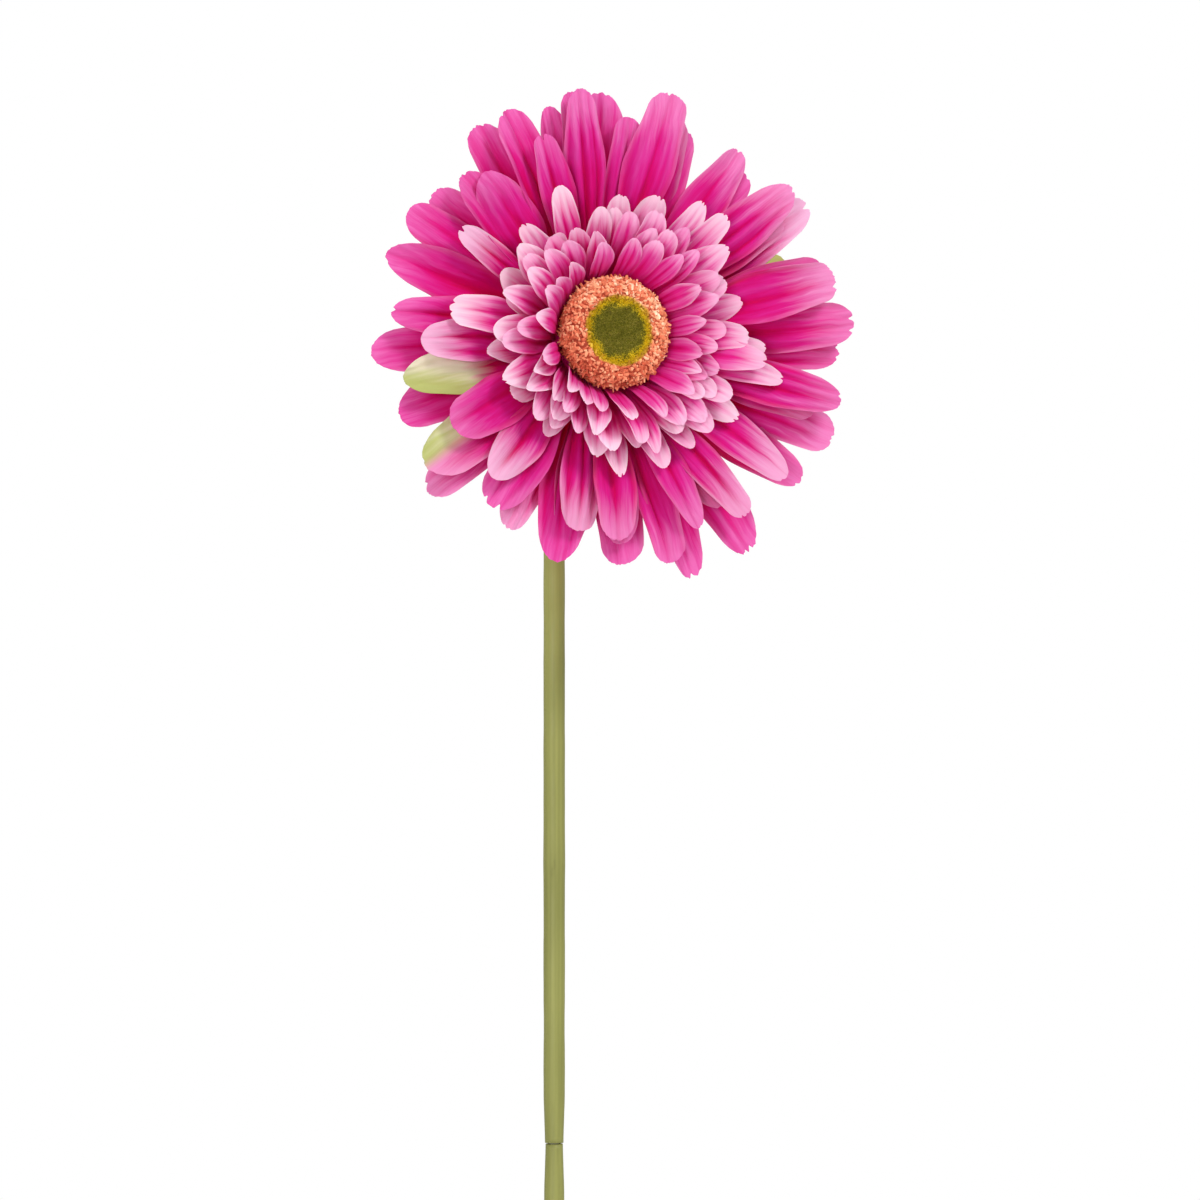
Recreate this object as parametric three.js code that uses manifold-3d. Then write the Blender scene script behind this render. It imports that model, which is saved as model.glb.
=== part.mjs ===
// A single-stem gerbera made of formed fabric petals on a wire-cored stem.
//
// Millimetres, +Z up the stem. The origin is the centre of the stem's cut end. The flower looks towards
// -Y and turns a little towards +X. Its head is built in a frame of its own: +Z comes out of the face,
// +Y is up and +X is to the right of someone who looks at the face.
import * as THREE from "three";
import { mergeVertices } from "three/addons/utils/BufferGeometryUtils.js";
import Module from "manifold-3d";

const wasm = await Module();
wasm.setup();

// Where the head sits and how it looks out.
const HEAD_CENTRE = new THREE.Vector3(14.75, -39.7, 438);
const HEAD_TURN = THREE.MathUtils.degToRad(20);
const HEAD_LIFT = THREE.MathUtils.degToRad(4);

// The stem: a steel wire in two lengths of soft green sleeve that meet at a seam.
const WIRE_RADIUS = 1.2;
const BORE_RADIUS = 1.55;
const LOWER_SLEEVE_RADIUS = 2.6;
const UPPER_SLEEVE_RADIUS = 2.75;
const SEAM_HEIGHT = 232;
const NECK_FOOT_HEIGHT = 410;
const NECK_STIFFNESS = 15;
const NECK_STEPS = 9;

// Heights along the head's axis, from the back of the calyx to the top of the peg.
const SLEEVE_TOP = -23.6;
const WIRE_TOP = -15;
const CALYX_FOOT = -27.5;
const CALYX_TOP = -14.3;
const PEG_FOOT = -21;
const PEG_TOP = -4;
const PEG_RADIUS = 3;
const GAP = 0.3;

// Every petal layer is one sheet, cut as a washer with petals round it.
const FABRIC = 0.5;
const WASHER = 0.62;
const WASHER_HOLE = PEG_RADIUS + 0.4;
const ROOT = 1;
const LAY = Math.tan(THREE.MathUtils.degToRad(5));
const CUP = 0.5;
const ROUND_SIDES = 24;

// Layers from the back of the head to its face. hub is where the petals leave the washer, base is the
// washer's height, rise is how far the petals climb on their way out to rim, and foot is their width at
// the hub. folds and steps divide a petal across and along. A petal is [clock angle, reach, width]. Where
// a layer has a tip, about how high its petals' ends lie, they are as seen from in front of the flower,
// and otherwise they are in the head's own frame. Each petal laps over the next one clockwise, or under
// it where the layer's lay is -1.
const LAYERS = [
  {
    name: "rear_petals",
    hub: 13, base: -12.5, rise: 7, rim: 62, tip: -5.5, foot: 3.2, folds: 2, steps: 4,
    petals: [
      [0, 61, 12], [21.5, 56, 11], [41, 54, 10], [56, 61.5, 14], [67, 48.5, 11], [93, 58.5, 12],
      [116, 61.5, 12], [128.5, 59.5, 13], [147, 64, 14.5], [162, 64, 13], [178.5, 58, 13.5],
      [195, 52, 10.5], [209, 56, 11], [230, 61, 12], [250.5, 57, 13], [265, 60, 12.5],
      [288.5, 59, 13], [308, 55.5, 11], [327, 61, 11], [345.5, 59, 10],
    ],
  },
  {
    name: "outer_petals",
    hub: 13, base: -11.7, rise: 9.6, rim: 60, tip: -2.1, foot: 3.2, folds: 2, steps: 4, lay: -1,
    petals: [
      [6.5, 55, 9], [20, 58, 11.5], [37.5, 57.5, 12], [53, 54, 12], [73, 57, 11], [87.5, 61.5, 12.5],
      [109, 54, 11], [126, 50, 10], [149, 51, 10], [165.5, 59, 10.5], [180, 53, 11], [196, 59, 14.5],
      [216, 53.5, 13], [234, 58, 14], [255, 53.5, 13.5], [275.5, 55, 11], [302, 58, 11.5],
      [316, 53.5, 12], [336, 61, 12], [351, 61.5, 10],
    ],
  },
  {
    name: "upper_petals",
    hub: 13, base: -10.9, rise: 12.6, rim: 56, tip: 1.4, foot: 3.4, folds: 2, steps: 4,
    petals: [
      [13.5, 63, 12.5], [52, 60, 12.5], [76, 58.5, 13], [108, 60, 12], [127.5, 56, 11.5], [145, 56, 10],
      [156, 53, 9], [179, 52, 11.5], [192, 50, 12.5], [218.5, 48, 12.5], [237, 47, 13.5],
      [267, 47, 11.5], [305, 45, 7.5], [321, 50, 13], [341, 52, 9.5], [353, 61.5, 10.8],
    ],
  },
  {
    name: "lower_collar_petals",
    hub: 13, base: -10.1, rise: 13, rim: 42, tip: 3, foot: 3.6, folds: 1, steps: 4,
    petals: [
      [6.5, 35, 7], [20, 37, 8.5], [37, 41, 7], [45, 42, 7.5], [63, 32, 7], [77, 34.5, 7.5],
      [95, 39, 6.5], [104, 44.5, 7.5], [124, 38, 8], [147, 35, 6.5], [160, 36, 7.5], [179, 36, 7],
      [212, 30, 6.5], [237, 29.5, 8], [260, 31, 7.5], [278, 40, 9], [297, 30, 8], [323.5, 34, 7],
      [339, 38.5, 8],
    ],
  },
  {
    name: "upper_collar_petals",
    hub: 13, base: -9.3, rise: 14.5, rim: 35, tip: 5, foot: 3.6, folds: 1, steps: 4,
    petals: [
      [5, 31.5, 6.5], [30, 29, 6.5], [52, 37, 8.5], [64, 32, 7.5], [90, 34.5, 7.5], [101, 39, 8],
      [120.5, 33.5, 7.5], [135, 34.5, 7.5], [145, 30, 7.5], [168, 29, 6.5], [189, 31, 8.5],
      [210, 28, 6.5], [224.5, 29, 7.5], [244, 29.5, 8.5], [271, 29.5, 8], [290, 27, 7],
      [311, 31, 8], [332, 28, 6.5], [354, 31.5, 7],
    ],
  },
  {
    name: "lower_inner_petals",
    hub: 12.9, base: -8.5, rise: 15, rim: 32, foot: 3.8, folds: 1, steps: 3,
    petals: ringOfPetals(18, 3, 30, 2, 6.8),
  },
  {
    name: "upper_inner_petals",
    hub: 12.4, base: -7.7, rise: 16, rim: 28, foot: 3.6, folds: 1, steps: 3,
    petals: ringOfPetals(18, 12, 27, 1.8, 6.2),
  },
  {
    name: "floret_ring",
    hub: 11.8, base: -6.9, rise: 18, rim: 24, foot: 3, folds: 1, steps: 3,
    petals: ringOfPetals(19, 5, 22.6, 1.5, 5.6),
  },
];

const SEPALS = {
  name: "sepal_star",
  hub: 9.5, base: -13.7, rise: 0.7, rim: 26, foot: 3, folds: 1, steps: 2,
  petals: ringOfPetals(16, 0, 21, 1, 4.6),
};

const COLOURS = {
  rear_petals: 0xcf2388, outer_petals: 0xd93394, upper_petals: 0xe05aa8, lower_collar_petals: 0xe07ab8,
  upper_collar_petals: 0xe48cc0, lower_inner_petals: 0xe07cb4, upper_inner_petals: 0xe08ab8,
  floret_ring: 0xdc6aa8, sepal_star: 0x7f8a3e,
};

function matte(colour, roughness = 0.8, metalness = 0) {
  return new THREE.MeshStandardMaterial({ color: colour, roughness, metalness });
}

function named(name, geometry, material) {
  const mesh = new THREE.Mesh(geometry, material);
  mesh.name = name;
  return mesh;
}

// Petals evenly round the head, with reach and angle varied a little as hand forming does.
function ringOfPetals(count, start, reach, spread, width) {
  const pitch = 360 / count;
  return Array.from({ length: count }, (_, i) => [
    start + pitch * (i + 0.3 * Math.sin(5 * i + 1)),
    reach + spread * Math.sin(7.3 * i),
    width * (1 + 0.14 * Math.sin(2.9 * i)),
  ]);
}

function solidOf(geometry) {
  const bare = geometry.clone();
  bare.deleteAttribute("normal");
  bare.deleteAttribute("uv");
  const merged = mergeVertices(bare, 1e-4);
  return new wasm.Manifold(
    new wasm.Mesh({
      numProp: 3,
      vertProperties: new Float32Array(merged.attributes.position.array),
      triVerts: new Uint32Array(merged.index.array),
    }),
  );
}

function geometryOf(solid) {
  const mesh = solid.getMesh();
  const geometry = new THREE.BufferGeometry();
  geometry.setAttribute("position", new THREE.BufferAttribute(mesh.vertProperties, 3));
  geometry.setIndex(new THREE.BufferAttribute(mesh.triVerts, 1));
  geometry.computeVertexNormals();
  return geometry;
}

// A solid of revolution about the head's axis, from a profile of [radius, height] points.
function turned(profile, sides = ROUND_SIDES) {
  const points = profile.map(([radius, height]) => new THREE.Vector2(radius, height));
  return new THREE.LatheGeometry(points, sides).rotateX(Math.PI / 2);
}

// The height and slope of a layer's middle surface at a radius.
function layerHeight(layer, radius) {
  const share = THREE.MathUtils.clamp((radius - layer.hub) / (layer.rim - layer.hub), 0, 1);
  return layer.base + layer.rise * Math.sin((Math.PI / 2) * share);
}

// A petal's clock angle and reach in the head's frame.
function inHeadFrame([clock, reach, width], tip) {
  const angle = THREE.MathUtils.degToRad(clock);
  if (tip === undefined) return { angle, reach, width };
  const across = (reach * Math.sin(angle) - tip * Math.sin(HEAD_TURN)) / Math.cos(HEAD_TURN);
  const up = reach * Math.cos(angle) - tip * Math.sin(HEAD_LIFT);
  return { angle: Math.atan2(across, up), reach: Math.hypot(across, up), width };
}

// The width at a share of the length: narrow at the foot, full past the middle, rounded at the tip.
function widthAt(foot, width, share) {
  const full = foot + (width - foot) * THREE.MathUtils.smoothstep(share, 0, 0.66);
  const tip = Math.sqrt(1 - 0.85 * Math.max(0, (share - 0.74) / 0.26) ** 2);
  return full * tip;
}

// A box bent into a petal that follows its layer, with one edge lying higher than the other. Its first
// step lies in the washer and the others divide what is outside the hub.
function petalGeometry(layer, petal) {
  const { angle, reach, width } = inHeadFrame(petal, layer.tip);
  const geometry = new THREE.BoxGeometry(1, 1, 1, layer.folds, layer.steps + 1, 1);
  const position = geometry.attributes.position;
  for (let i = 0; i < position.count; i++) {
    const row = Math.round((position.getY(i) + 0.5) * (layer.steps + 1));
    const share = Math.max(0, row - 1) / layer.steps;
    const radius = row === 0 ? layer.hub - ROOT : layer.hub + (reach - layer.hub) * share;
    const across = 2 * position.getX(i);
    const x = (across / 2) * widthAt(layer.foot, width, share);
    const slope = layerHeight(layer, radius + 0.5) - layerHeight(layer, radius - 0.5);
    const offset = (position.getZ(i) * FABRIC) / Math.hypot(slope, 1);
    const laid = x * LAY * (layer.lay ?? 1) * THREE.MathUtils.smoothstep(share, 0, 0.4);
    const lift = laid + CUP * share * across ** 2;
    position.setXYZ(i, x, radius - offset * slope, layerHeight(layer, radius) + lift + offset);
  }
  return geometry.rotateZ(-angle);
}

function layerGeometry(layer) {
  const { base, hub } = layer;
  const low = base - WASHER / 2;
  const high = base + WASHER / 2;
  const washer = turned([
    [WASHER_HOLE, low], [hub, low], [hub, high], [WASHER_HOLE, high], [WASHER_HOLE, low],
  ]);
  const petals = layer.petals.map((petal) => solidOf(petalGeometry(layer, petal)));
  return geometryOf(petals.reduce((joined, petal) => joined.add(petal), solidOf(washer)));
}

// The green cup behind the petals: a socket for the sleeve, a web, and a seat for the peg.
function calyxGeometry() {
  const socket = UPPER_SLEEVE_RADIUS + 0.45;
  const seat = PEG_RADIUS + GAP;
  const web = SLEEVE_TOP + GAP;
  return turned([
    [socket, CALYX_FOOT], [4.3, CALYX_FOOT], [5.6, -25.4], [8.6, -22], [11.4, -18], [12.4, -15.2],
    [12, CALYX_TOP], [seat, CALYX_TOP], [seat, PEG_FOOT - GAP], [BORE_RADIUS, PEG_FOOT - GAP],
    [BORE_RADIUS, web], [socket, web], [socket, CALYX_FOOT],
  ]);
}

// The peg that every layer is threaded on, bored for the end of the wire.
function pegGeometry() {
  const boreTop = WIRE_TOP + GAP;
  return turned([
    [0, boreTop], [BORE_RADIUS, boreTop], [BORE_RADIUS, PEG_FOOT],
    [PEG_RADIUS, PEG_FOOT], [PEG_RADIUS, PEG_TOP], [0, PEG_TOP],
  ], 16);
}

// The foam core of the flower's eye, pushed on to the peg.
function coreGeometry() {
  const socket = PEG_RADIUS + GAP;
  return turned([
    [0, PEG_TOP + GAP], [socket, PEG_TOP + GAP], [socket, -6.2], [9.2, -6.2],
    [9.5, -2], [9.5, 2.4], [7.9, 3.9], [0, 3.9],
  ]);
}

// The pollen crust: a thick ring round the core with a lip that slopes in to the eye.
function pollenGeometry() {
  return turned([
    [9.8, -6], [10.8, -6], [12.4, -3], [13.6, 0.3], [14.1, 2.4], [13.5, 4.4], [12.3, 5.9],
    [10.8, 6.6], [9, 6.1], [8, 4.9], [8.1, 4.2], [9.8, 2.7], [9.8, -6],
  ]);
}

// The flocked green eye.
function eyeGeometry() {
  return turned([[0, 4.2], [7.6, 4.2], [7.6, 5.2], [5.4, 6.1], [2.8, 6.5], [0, 6.6]]);
}

// A line through points that a sweep takes one step at a time, so that a straight part is one step long.
class StepLine extends THREE.Curve {
  constructor(points) {
    super();
    this.points = points;
  }

  getPoint(share, target = new THREE.Vector3()) {
    const place = share * (this.points.length - 1);
    const step = Math.min(Math.floor(place), this.points.length - 2);
    return target.lerpVectors(this.points[step], this.points[step + 1], place - step);
  }

  getUtoTmapping(share) {
    return share;
  }
}

// A rod, or a tube where it has a bore, that follows a line through points.
function rodGeometry(points, radius, bore) {
  const section = new THREE.Shape().absarc(0, 0, radius, 0, 2 * Math.PI);
  if (bore) section.holes.push(new THREE.Path().absarc(0, 0, bore, 0, 2 * Math.PI));
  return new THREE.ExtrudeGeometry(section, {
    extrudePath: new StepLine(points),
    steps: points.length - 1,
    curveSegments: bore ? 6 : 4,
  });
}

const head = new THREE.Group();
head.position.copy(HEAD_CENTRE);
head.rotation.set(Math.PI / 2 - HEAD_LIFT, 0, HEAD_TURN, "ZXY");
head.updateMatrixWorld(true);

function onHeadAxis(height) {
  return head.localToWorld(new THREE.Vector3(0, 0, height));
}

// Points from a height on the straight stem up through the neck, which bends forward into the calyx.
function stemPoints(from) {
  const neck = new THREE.CubicBezierCurve3(
    new THREE.Vector3(0, 0, NECK_FOOT_HEIGHT),
    new THREE.Vector3(0, 0, NECK_FOOT_HEIGHT + NECK_STIFFNESS),
    onHeadAxis(SLEEVE_TOP - NECK_STIFFNESS),
    onHeadAxis(SLEEVE_TOP),
  );
  return [new THREE.Vector3(0, 0, from), ...neck.getPoints(NECK_STEPS)];
}

const lowerSleevePoints = [new THREE.Vector3(), new THREE.Vector3(0, 0, SEAM_HEIGHT - GAP)];

const fabric = (name) => matte(COLOURS[name], 0.85);
for (const layer of [SEPALS, ...LAYERS]) {
  head.add(named(layer.name, layerGeometry(layer), fabric(layer.name)));
}
head.add(named("calyx_cup", calyxGeometry(), matte(0x8a9347, 0.6)));
head.add(named("head_peg", pegGeometry(), matte(0x6f7a3a, 0.5)));
head.add(named("eye_core", coreGeometry(), matte(0xa8a860, 0.9)));
head.add(named("pollen_ring", pollenGeometry(), matte(0xdf7a52, 0.95)));
head.add(named("green_eye", eyeGeometry(), matte(0x5d6418, 0.95)));

const flower = new THREE.Group();
flower.add(head);
flower.add(named(
  "lower_stem_sleeve",
  rodGeometry(lowerSleevePoints, LOWER_SLEEVE_RADIUS, BORE_RADIUS),
  matte(0x8b8f4a, 0.55),
));
flower.add(named(
  "upper_stem_sleeve",
  rodGeometry(stemPoints(SEAM_HEIGHT), UPPER_SLEEVE_RADIUS, BORE_RADIUS),
  matte(0x8f944c, 0.55),
));
flower.add(named(
  "stem_wire",
  rodGeometry([...stemPoints(0), onHeadAxis(WIRE_TOP)], WIRE_RADIUS),
  matte(0x8c8c8c, 0.35, 1),
));

export default flower;
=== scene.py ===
import math
import random

import bmesh
import bpy
from mathutils import Euler, Matrix, Vector


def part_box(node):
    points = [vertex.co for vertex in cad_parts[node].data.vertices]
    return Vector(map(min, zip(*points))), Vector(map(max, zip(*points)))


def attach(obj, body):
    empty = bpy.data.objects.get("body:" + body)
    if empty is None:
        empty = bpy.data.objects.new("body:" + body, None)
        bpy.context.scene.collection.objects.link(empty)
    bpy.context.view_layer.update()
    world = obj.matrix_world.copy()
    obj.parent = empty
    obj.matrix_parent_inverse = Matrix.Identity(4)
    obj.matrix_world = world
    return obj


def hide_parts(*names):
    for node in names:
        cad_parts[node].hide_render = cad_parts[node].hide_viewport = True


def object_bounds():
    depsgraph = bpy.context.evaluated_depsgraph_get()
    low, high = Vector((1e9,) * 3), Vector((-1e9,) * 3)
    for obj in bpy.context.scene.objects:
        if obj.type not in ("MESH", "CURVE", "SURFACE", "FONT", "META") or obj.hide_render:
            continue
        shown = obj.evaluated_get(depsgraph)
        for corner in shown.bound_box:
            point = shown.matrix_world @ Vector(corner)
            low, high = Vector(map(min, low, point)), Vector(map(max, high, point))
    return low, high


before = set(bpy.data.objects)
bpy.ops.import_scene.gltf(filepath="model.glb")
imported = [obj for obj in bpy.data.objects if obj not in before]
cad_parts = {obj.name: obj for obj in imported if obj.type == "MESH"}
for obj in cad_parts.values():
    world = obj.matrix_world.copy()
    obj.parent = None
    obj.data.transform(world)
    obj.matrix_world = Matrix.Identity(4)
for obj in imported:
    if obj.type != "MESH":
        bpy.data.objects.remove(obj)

MM = 0.001
cad_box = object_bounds()


# The studio. A pale disc of floor under the stem, a white surround, a key light high on the right in
# front of the flower, a fill beside the long lens, which is level with the upper stem, and one behind.

FLOOR_RADIUS = 1.4
FLOOR_DROP = 0.5 * MM
LENS_MM = 180
SENSOR_MM = 36
CAMERA_DISTANCE = 1.5
FRAME_HEIGHT = CAMERA_DISTANCE * SENSOR_MM / LENS_MM
HEAD_SHARE_BELOW_TOP = 0.2775
HEAD_SHARE_RIGHT = 0.01
SURROUND_LIGHT = 0.6


def srgb(red, green, blue):
    """A colour written as the eye sees it, 0 to 255, turned into the linear values that light adds up in."""
    def linear(value):
        share = value / 255
        return share / 12.92 if share <= 0.04045 else ((share + 0.055) / 1.055) ** 2.4
    return (linear(red), linear(green), linear(blue), 1.0)


def new_material(name):
    """A material with nodes, its tree and its shader."""
    material = bpy.data.materials.new(name)
    material.use_nodes = True
    return material, material.node_tree, material.node_tree.nodes["Principled BSDF"]


def add_object(name, data):
    item = bpy.data.objects.new(name, data)
    bpy.context.scene.collection.objects.link(item)
    return item


# The head's own frame: +Z comes out of the flower's face, +Y is up, and +X is to the right of someone
# who looks at the face. Heights on its axis are measured along +Z.
low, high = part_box("head_peg")
peg_middle = (low + high) / 2
HEAD_TURN = math.radians(20)
HEAD_LIFT = math.radians(4)
PEG_MIDDLE_HEIGHT = -12.5 * MM
head_turned = Euler((math.pi / 2 - HEAD_LIFT, 0, HEAD_TURN), "XYZ").to_matrix()
head_axis = head_turned @ Vector((0, 0, 1))
head_centre = peg_middle - head_axis * PEG_MIDDLE_HEIGHT
HEAD = Matrix.Translation(head_centre) @ head_turned.to_4x4()

camera_data = bpy.data.cameras.new("camera")
camera_data.lens = LENS_MM
camera_data.sensor_width = SENSOR_MM
camera = add_object("camera", camera_data)
camera.location = (
    head_centre.x - HEAD_SHARE_RIGHT * FRAME_HEIGHT,
    head_centre.y - CAMERA_DISTANCE,
    head_centre.z - (0.5 - HEAD_SHARE_BELOW_TOP) * FRAME_HEIGHT,
)
camera.rotation_euler = (math.pi / 2, 0, 0)
bpy.context.scene.camera = camera

floor_mesh = bpy.data.meshes.new("studio_floor")
shape = bmesh.new()
bmesh.ops.create_circle(shape, cap_ends=True, radius=FLOOR_RADIUS, segments=96)
shape.to_mesh(floor_mesh)
shape.free()
floor = add_object("studio_floor", floor_mesh)
floor.location.z = cad_box[0][2] - FLOOR_DROP
paper, _, paper_shader = new_material("pale_paper")
paper_shader.inputs["Base Color"].default_value = srgb(240, 240, 238)
paper_shader.inputs["Roughness"].default_value = 0.9
floor_mesh.materials.append(paper)


def soft_light(name, place, size, watts):
    """A square softbox that looks at the flower's head."""
    lamp = bpy.data.lights.new(name, "AREA")
    lamp.size = size
    lamp.energy = watts
    item = add_object(name, lamp)
    item.location = head_centre + Vector(place)
    item.rotation_euler = (-Vector(place)).to_track_quat("-Z", "Y").to_euler()


soft_light("key_softbox", (1.0, -1.0, 1.1), 0.5, 18)
soft_light("front_softbox", (-0.5, -1.6, 0.1), 0.6, 12)
soft_light("back_softbox", (-0.7, 1.4, 0.8), 1.0, 9)

surround = bpy.data.worlds.new("white_surround")
surround.use_nodes = True
sky = surround.node_tree
sky.nodes["Background"].inputs["Color"].default_value = (1, 1, 1, 1)
sky.nodes["Background"].inputs["Strength"].default_value = SURROUND_LIGHT
backdrop = sky.nodes.new("ShaderNodeBackground")
backdrop.inputs["Color"].default_value = (1, 1, 1, 1)
chosen = sky.nodes.new("ShaderNodeMixShader")
sky.links.new(sky.nodes.new("ShaderNodeLightPath").outputs["Is Camera Ray"], chosen.inputs["Fac"])
sky.links.new(sky.nodes["Background"].outputs[0], chosen.inputs[1])
sky.links.new(backdrop.outputs[0], chosen.inputs[2])
sky.links.new(chosen.outputs[0], sky.nodes["World Output"].inputs["Surface"])
bpy.context.scene.world = surround
bpy.context.scene.view_settings.view_transform = "Standard"


# The stem. A drawn steel wire in two lengths of soft extruded plastic sleeve, which meet at a seam
# about halfway up. The sleeve is a little uneven where it was pushed on, and bends forward into the calyx.

WIRE_BORE = 1.55 * MM
SLEEVE_RADIUS = 2.75 * MM
LOWER_SLEEVE_RADIUS = 2.6 * MM
WAIST_DEPTH = 0.42 * MM
WAIST_LENGTH = 15 * MM
UNEVENNESS = 0.5 * MM
SLEEVE_TOP = -23.6 * MM
NECK_FOOT = 410 * MM
NECK_STIFFNESS = 15 * MM
NECK_STEPS = 30
RING_SPACING = 1.2 * MM
SLEEVE_SIDES = 40


class Field:
    """A value in a node tree that adds and multiplies as a number does, by making Math nodes."""

    def __init__(self, tree, socket):
        self.tree = tree
        self.socket = socket

    def math(self, operation, *others):
        node = self.tree.nodes.new("ShaderNodeMath")
        node.operation = operation
        for place, value in enumerate((self, *others)):
            plug(self.tree, value, node.inputs[place])
        return Field(self.tree, node.outputs[0])

    def __add__(self, other):
        return self.math("ADD", other)

    def __sub__(self, other):
        return self.math("SUBTRACT", other)

    def __mul__(self, other):
        return self.math("MULTIPLY", other)

    def __truediv__(self, other):
        return self.math("DIVIDE", other)

    def __pow__(self, other):
        return self.math("POWER", other)

    __radd__ = __add__
    __rmul__ = __mul__

    def __rsub__(self, other):
        return self * -1 + other

    def sine(self):
        return self.math("SINE")

    def cosine(self):
        return self.math("COSINE")

    def size(self):
        return self.math("ABSOLUTE")

    def at_least(self, value):
        return self.math("MAXIMUM", value)

    def at_most(self, value):
        return self.math("MINIMUM", value)

    def hump(self, centre, half_width):
        """1 at the centre, falling to about a third at a half-width from it."""
        return (((self - centre) / half_width).math("POWER", 2) * -1).math("EXPONENT")

    def ramp(self, start, end):
        """0 before start, 1 after end, and smooth between them."""
        node = self.tree.nodes.new("ShaderNodeMapRange")
        node.interpolation_type = "SMOOTHSTEP"
        for name, value in (("Value", self), ("From Min", start), ("From Max", end)):
            plug(self.tree, value, node.inputs[name])
        return Field(self.tree, node.outputs["Result"])

    def parts(self):
        """The three numbers of a vector."""
        node = self.tree.nodes.new("ShaderNodeSeparateXYZ")
        plug(self.tree, self, node.inputs[0])
        return [Field(self.tree, socket) for socket in node.outputs]


def plug(tree, value, socket):
    """Links a field to a socket, or sets the socket to a plain value."""
    if isinstance(value, Field):
        tree.links.new(value.socket, socket)
    else:
        socket.default_value = value


def add_node(tree, kind, output=0, settings=None, **inputs):
    """Adds a node, sets it up, plugs its inputs by name and returns one of its outputs as a field."""
    node = tree.nodes.new(kind)
    for name, value in (settings or {}).items():
        setattr(node, name, value)
    for name, value in inputs.items():
        wanted = name.replace("_", " ").lower()
        socket = next(s for s in node.inputs if s.enabled and s.name.lower() == wanted)
        plug(tree, value, socket)
    return Field(tree, node.outputs[output])


def vector(tree, x, y, z):
    return add_node(tree, "ShaderNodeCombineXYZ", X=x, Y=y, Z=z)


def noise(tree, place, scale, detail=2.0):
    """Smooth noise from 0 to 1 over a place."""
    return add_node(tree, "ShaderNodeTexNoise", Vector=place, Scale=scale, Detail=detail)


def geometry_tree(name, **inputs):
    """A Geometry Nodes tree with named inputs: returns it, the geometry that comes in and the inputs."""
    tree = bpy.data.node_groups.new(name, "GeometryNodeTree")
    tree.interface.new_socket("Geometry", in_out="INPUT", socket_type="NodeSocketGeometry")
    tree.interface.new_socket("Geometry", in_out="OUTPUT", socket_type="NodeSocketGeometry")
    for label, kind in inputs.items():
        tree.interface.new_socket(label.replace("_", " "), in_out="INPUT", socket_type="NodeSocket" + kind)
    start = tree.nodes.new("NodeGroupInput")
    fields = {label: Field(tree, start.outputs[label.replace("_", " ")]) for label in inputs}
    return tree, Field(tree, start.outputs["Geometry"]), fields


def keep(tree, geometry, name, value, kind="FLOAT_VECTOR", domain="POINT"):
    """Keeps a value on the geometry under a name, for its material or for a later node."""
    return add_node(
        tree, "GeometryNodeStoreNamedAttribute", settings={"data_type": kind, "domain": domain},
        Geometry=geometry, Name=name, Value=value)


def kept(tree, name, kind="FLOAT"):
    return add_node(tree, "GeometryNodeInputNamedAttribute", settings={"data_type": kind}, Name=name)


def join(tree, *geometries):
    node = tree.nodes.new("GeometryNodeJoinGeometry")
    for geometry in geometries:
        tree.links.new(geometry.socket, node.inputs[0])
    return Field(tree, node.outputs[0])


def end_tree(tree, geometry, material, sharp=False):
    """Ends a tree in smooth shading, apart from its sharp edges, Realize Instances and Set Material."""
    smooth = add_node(tree, "GeometryNodeSetShadeSmooth", Geometry=geometry)
    smooth = add_node(
        tree, "GeometryNodeSetShadeSmooth", settings={"domain": "EDGE"}, Geometry=smooth, Selection=sharp,
        Shade_Smooth=False)
    real = add_node(tree, "GeometryNodeRealizeInstances", Geometry=smooth)
    painted = add_node(tree, "GeometryNodeSetMaterial", Geometry=real, Material=material)
    tree.links.new(painted.socket, tree.nodes.new("NodeGroupOutput").inputs[0])


def grow(name, data, tree, place=None, **values):
    """Runs a tree on data and returns the plain mesh object that it makes, put in its place."""
    piece = add_object(name, data)
    modifier = piece.modifiers.new("shape", "NODES")
    modifier.node_group = tree
    for item in tree.interface.items_tree:
        label = item.name.replace(" ", "_")
        if item.in_out == "INPUT" and label in values:
            modifier[item.identifier] = values[label]
    depsgraph = bpy.context.evaluated_depsgraph_get()
    mesh = bpy.data.meshes.new_from_object(
        piece.evaluated_get(depsgraph), preserve_all_data_layers=True, depsgraph=depsgraph)
    bpy.data.objects.remove(piece)
    mesh.name = name
    if place is not None:
        mesh.transform(place)
    return add_object(name, mesh)


def hand_in(piece, nodes):
    """Rides a piece on the part's one body, in place of CAD nodes, which it hides."""
    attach(piece, "root")
    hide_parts(*nodes)


def own_place(tree):
    """A point's x, y and z on the piece that a material is on."""
    return add_node(tree, "ShaderNodeTexCoord", output=3).parts()


def colours(tree, share, stops):
    """A run of colours, from (place, colour) stops."""
    run = add_node(tree, "ShaderNodeValToRGB", Fac=share)
    elements = run.socket.node.color_ramp.elements
    while len(elements) < len(stops):
        elements.new(0.5)
    for element, (place, colour) in zip(elements, stops):
        element.position, element.color = place, srgb(*colour)
    return run


def blend(tree, amount, first, second):
    return add_node(
        tree, "ShaderNodeMix", output=2, settings={"data_type": "RGBA"}, Factor=amount, A=first, B=second)


def finish_shader(tree, shader, colour, roughness, relief, depth, strength=0.5):
    """Plugs in a colour, a roughness and a bump of so many metres."""
    plug(tree, colour, shader.inputs["Base Color"])
    plug(tree, roughness, shader.inputs["Roughness"])
    bump = add_node(tree, "ShaderNodeBump", Strength=strength, Distance=depth, Height=relief)
    plug(tree, bump, shader.inputs["Normal"])


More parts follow.
